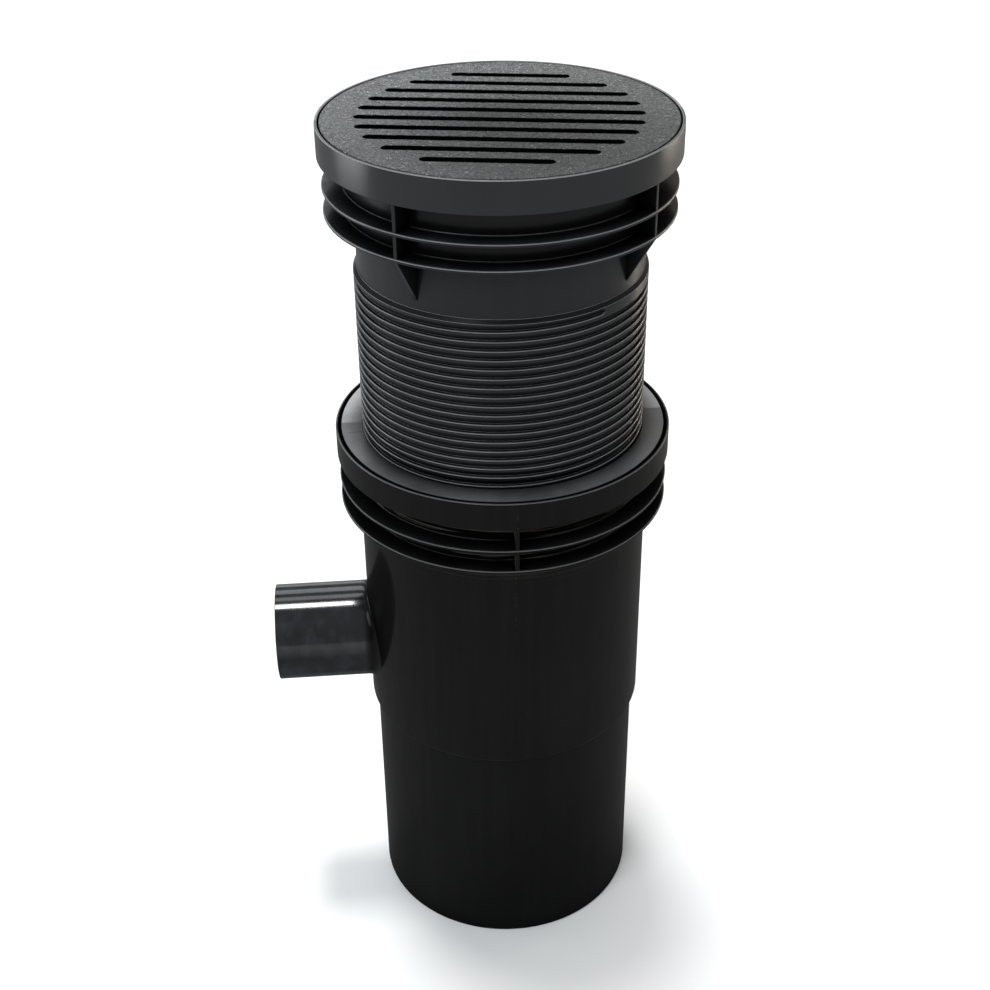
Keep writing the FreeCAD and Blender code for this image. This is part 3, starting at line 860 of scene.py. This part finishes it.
def moulded_black(name, shade, dust, skin, skin_roughness, streaks=0.4, edge_highlight=0.1, painted_rim_light=None,
                  outlet_skin=0.0, painted_bay_reflections=0.0):
    """Black moulded plastic with a glossy skin, a fine mould texture and flow streaks.

    Dust lies on flat tops, thinner at the front as painted shade. Hollows get painted shade, upper round
    edges and the body's foot painted highlights, bays painted reflections, and the rim band a lighter
    shade as painted light. The outlet is smudged."""
    finish = Finish(name)
    haze = finish.grain(9, detail=5)
    flow = finish.grain(14, place=finish.stretched((6, 6, 0.35)))
    speckle = finish.ramp(finish.grain(520, detail=2), [(0.62, 0), (0.74, 1)])
    facing = finish.upward()
    height = finish.along("Z")
    above_outlet = finish.ramp(height, ABOVE_OUTLET)
    open_place = finish.ramp(finish.openness(0.035), [(0.4, 0), (0.85, 1)])
    lying = finish.ramp(facing, FLAT_TOPS) * above_outlet * (0.1 + open_place * 0.9)
    # Painted light: the riser's rim band gets a lighter shade than the neck below it
    rim = finish.ramp(height, RISER_RIM_BAND)
    bare = finish.mix(rim, (*shade, 1), (*(painted_rim_light or shade), 1))
    flow_marks = finish.ramp(flow, [(0.45, 0), (0.8, 1)]) * streaks * 0.2
    marked = finish.mix(speckle * 0.15 + flow_marks, bare, MARKS)
    dust_patches = finish.ramp(haze, [(0.35, 0.35), (0.6, 0.95)])
    # Dust with painted shade: less of it on the front half
    dust_and_front_shade = dust_patches * finish.ramp(finish.along("Y"), DUST_AND_PAINTED_FRONT_SHADE)
    dusty_and_front_shaded = finish.mix(lying * dust_and_front_shade, marked, (dust, dust, dust * 1.03, 1))
    # Painted shade: hollows are darkened by how closed in they are
    hollow_shaded = finish.mix(open_place, PAINTED_HOLLOW_SHADE, dusty_and_front_shaded)
    # Painted reflections: light horizontal lines on the upright walls in the bays
    fine_rows = finish.grain(1, place=finish.stretched((9, 9, 320)))
    reflection_lines = finish.ramp(fine_rows, [(0.5, 0), (0.62, 1)])
    in_bays = (1 - open_place) * above_outlet * finish.ramp(facing, UPRIGHT_FACES)
    bay_reflected = finish.mix(reflection_lines * in_bays * painted_bay_reflections, hollow_shaded, PAINTED_BAY_REFLECTION)
    outlet = finish.ramp(0 - finish.along("X"), OUTLET_BAND) * (1 - above_outlet)
    clean_outlet = outlet * finish.ramp(facing, OUTLET_TOP_SIDE)
    smudges = finish.ramp(finish.grain(60, detail=6), [(0.45, 0), (0.75, 1)])
    smudged = finish.mix(outlet * (0.25 + smudges * 0.5), bay_reflected, SMUDGES)
    # Painted highlights: lighter upper round edges, and a light line at the body's foot
    upper_edge_highlight = finish.ramp(facing, HIGHLIT_ROUND_EDGES) * above_outlet * open_place * (0.7 + 0.6 * haze)
    body_foot_highlight = finish.ramp(0 - facing, HIGHLIT_LOWER_EDGES) * finish.ramp(height, BODY_FOOT_BAND)
    painted_edge_highlights = upper_edge_highlight + body_foot_highlight * finish.ramp(haze, [(0.4, 0), (0.7, 0.6)])
    texture = finish.grain(1400, detail=3) * 0.5 + finish.grain(160, detail=2) * 0.5
    gloss = 1 + (haze - 0.5) * 0.5 + (flow - 0.5) * streaks * 0.6 - speckle * 0.15
    return finish.finished({
        "Base Color": finish.mix(painted_edge_highlights, smudged, (edge_highlight, edge_highlight, edge_highlight * 1.02, 1)),
        "Roughness": 0.6 + haze * 0.2,
        "Specular IOR Level": 0.01,
        # Painted shade: less coat in hollows
        "Coat Weight": (skin * (0.5 + open_place * 0.5) + clean_outlet * outlet_skin) * gloss,
        "Coat Roughness": skin_roughness,
        "Coat IOR": 2.0,
        "Normal": finish.bump(texture, 0.00004, 0.4),
    })


def cast_iron():
    """Sand-cast iron with a dark coat: grainy skin, pits, bright worn grains that are partly painted
    glints, and painted shade on the slot walls and the middle of the top.
    """
    finish = Finish("cast_iron_skin")
    lumps = finish.grain(250, detail=7, roughness=0.7)
    sand = finish.cell_shades(900)
    pits = finish.ramp(finish.grain(190, detail=3), [(0.30, 1), (0.42, 0)])
    flat = finish.ramp(finish.upward(), IRON_TOPS)
    level_place = {"Vector": finish.stretched((1, 1, 0))}
    outward = finish.node("ShaderNodeVectorMath", {"operation": "LENGTH"}, level_place, "Value")
    # Bright worn grains gather towards the rim, the back and the left, a spread that is painted light
    wear_and_painted_light = outward * 0.7 + finish.along("Y") * 0.4 - finish.along("X") * 0.12
    bright = finish.ramp(sand + (lumps - 0.5) * 1.2 + wear_and_painted_light, [(0.97, 0), (1, 1)])
    tone = finish.mix(finish.grain(7, detail=3), DARK_IRON, PALE_IRON)
    lit = finish.mix(bright * 0.85, tone, BARE_GRAINS_AND_GLINTS)
    height = lumps + sand * 0.15 - pits * 0.4
    # Painted shade: a dull dark shader covers the slot walls, and in part the middle and front of the top
    unshaded_share = finish.ramp(wear_and_painted_light, [(0.02, 0.5), (0.09, 0.85), (0.15, 1)])
    finish.dull_where_not(flat * unshaded_share, PAINTED_SLOT_SHADE)
    return finish.finished({
        "Base Color": finish.mix(pits * 0.8, lit, IRON_PITS),
        "Roughness": 0.31 + (lumps - 0.5) * 0.4 - bright * 0.04,
        "Metallic": bright * 0.5,
        "Specular IOR Level": 0.5,
        "Normal": finish.bump(height, 0.0022, 1.0),
    })


def seal_rubber():
    finish = Finish("seal_rubber")
    bloom = finish.grain(60)
    return finish.finished({
        "Base Color": finish.mix(bloom, (0.012, 0.012, 0.012, 1), (0.035, 0.035, 0.036, 1)),
        "Roughness": 0.7 + bloom * 0.15,
        "Normal": finish.bump(finish.grain(900), 0.0001),
    })


def studio_floor():
    finish = Finish("studio_floor")
    mottle = finish.grain(3)
    return finish.finished({
        "Base Color": finish.mix(mottle, (0.88, 0.88, 0.88, 1), (0.90, 0.90, 0.90, 1)),
        "Roughness": 0.85 + mottle * 0.1,
        "Specular IOR Level": 0.1,
    })


# Studio

def add_floor():
    bm = bmesh.new()
    bmesh.ops.create_grid(bm, x_segments=1, y_segments=1, size=FLOOR_REACH)
    floor = new_object(bm, "floor")
    floor.data.materials.append(studio_floor())


def add_lamp(light, place, aim):
    lamp = bpy.data.objects.new(light.name, light)
    bpy.context.collection.objects.link(lamp)
    toward = Vector(aim) - Vector(place)
    lamp.matrix_world = Matrix.Translation(place) @ toward.to_track_quat("-Z", "Y").to_matrix().to_4x4()


def softbox(name, place, aim, size, brightness, tint, spread=TURN / 2):
    """A soft panel that faces a point. Brightness is that of the panel's own face with a full spread."""
    light = bpy.data.lights.new(name, "AREA")
    light.shape = "RECTANGLE"
    light.size, light.size_y = size
    light.energy = brightness * math.pi * size[0] * size[1]
    light.color = tint
    light.spread = spread
    add_lamp(light, place, aim)


def distant_lamp(name, toward, strength, width, tint):
    """Light from one direction everywhere. Width is in degrees, and a wide one has soft edges."""
    light = bpy.data.lights.new(name, "SUN")
    light.energy = strength
    light.angle = math.radians(width)
    light.color = tint
    add_lamp(light, toward, (0, 0, 0))


def light_studio():
    world = bpy.data.worlds.new("studio")
    world.use_nodes = True
    backdrop = world.node_tree.nodes["Background"]
    backdrop.inputs["Color"].default_value = (0.96, 0.98, 1.0, 1)
    backdrop.inputs["Strength"].default_value = WORLD_LIGHT
    bpy.context.scene.world = world
    cool = (0.92, 0.97, 1.0)
    warm = (1.0, 0.90, 0.74)
    distant_lamp("overhead", (-0.07, 0.14, 1.0), strength=1.7, width=11, tint=(1.0, 0.99, 0.97))
    distant_lamp("front_sky", (-0.45, -0.60, 0.75), strength=1.35, width=35, tint=cool)
    middle = (0, 0, 0.6)
    thread = (0, 0, 0.8)
    softbox("window_back_left", (-0.65, 2.2, 1.95), middle, (1.3, 0.8), 4.2, cool)
    softbox("lamp_back_right", (1.0, 2.2, 1.95), middle, (1.1, 0.8), 2.2, (1.0, 0.93, 0.80))
    softbox("overhead_back", (-0.2, 1.5, 3.0), middle, (1.2, 0.6), 4.0, (0.98, 0.99, 1.0))
    softbox("horizon_back", (-0.3, 4.6, 0.6), middle, (3.5, 1.0), 2.5, cool)
    softbox("window_left", (-1.6, 0.4, 0.58), thread, (0.9, 0.36), 2.4, cool, PANEL_SPREAD)
    softbox("lamp_right", (1.5, 0.9, 0.58), thread, (0.9, 0.36), 3.2, warm, PANEL_SPREAD)
    softbox("floor_pool_right", (1.55, 1.05, 1.4), (1.55, 1.05, 0), (0.5, 0.5), 9.0, warm, POOL_SPREAD)


def place_camera():
    lens = bpy.data.cameras.new("camera")
    lens.lens = CAMERA_LENS
    lens.sensor_width = 36.0
    camera = bpy.data.objects.new("camera", lens)
    bpy.context.collection.objects.link(camera)
    heading = Matrix.Rotation(CAMERA_HEADING, 4, "Z")
    pitch = Matrix.Rotation(TURN / 4 - CAMERA_PITCH, 4, "X")
    roll = Matrix.Rotation(CAMERA_ROLL, 4, "Z")
    camera.matrix_world = Matrix.Translation(CAMERA_PLACE) @ heading @ pitch @ roll
    bpy.context.scene.camera = camera


def main():
    make_riser(moulded_black("riser_black", (0.009, 0.0095, 0.0105), dust=0.3, skin=0.11,
                             skin_roughness=0.2, edge_highlight=0.3, painted_rim_light=(0.016, 0.0165, 0.0172)))
    make_body(moulded_black("body_black", (0.0022, 0.0021, 0.002), dust=0.15, skin=0.046,
                            skin_roughness=0.12, edge_highlight=0.16, outlet_skin=0.2, painted_bay_reflections=0.8))
    make_bucket(moulded_black("bucket_black", (0.0024, 0.0024, 0.0023), dust=0.03, skin=0.04,
                              skin_roughness=0.25, streaks=0.3))
    make_ring(moulded_black("ring_black", (0.016, 0.016, 0.0165), dust=0.42, skin=0.24,
                            skin_roughness=0.38))
    make_grate(cast_iron())
    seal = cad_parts["seal"].data
    seal.materials.clear()
    seal.materials.append(seal_rubber())
    add_floor()
    light_studio()
    place_camera()
    bpy.context.scene.view_settings.view_transform = "Standard"


main()
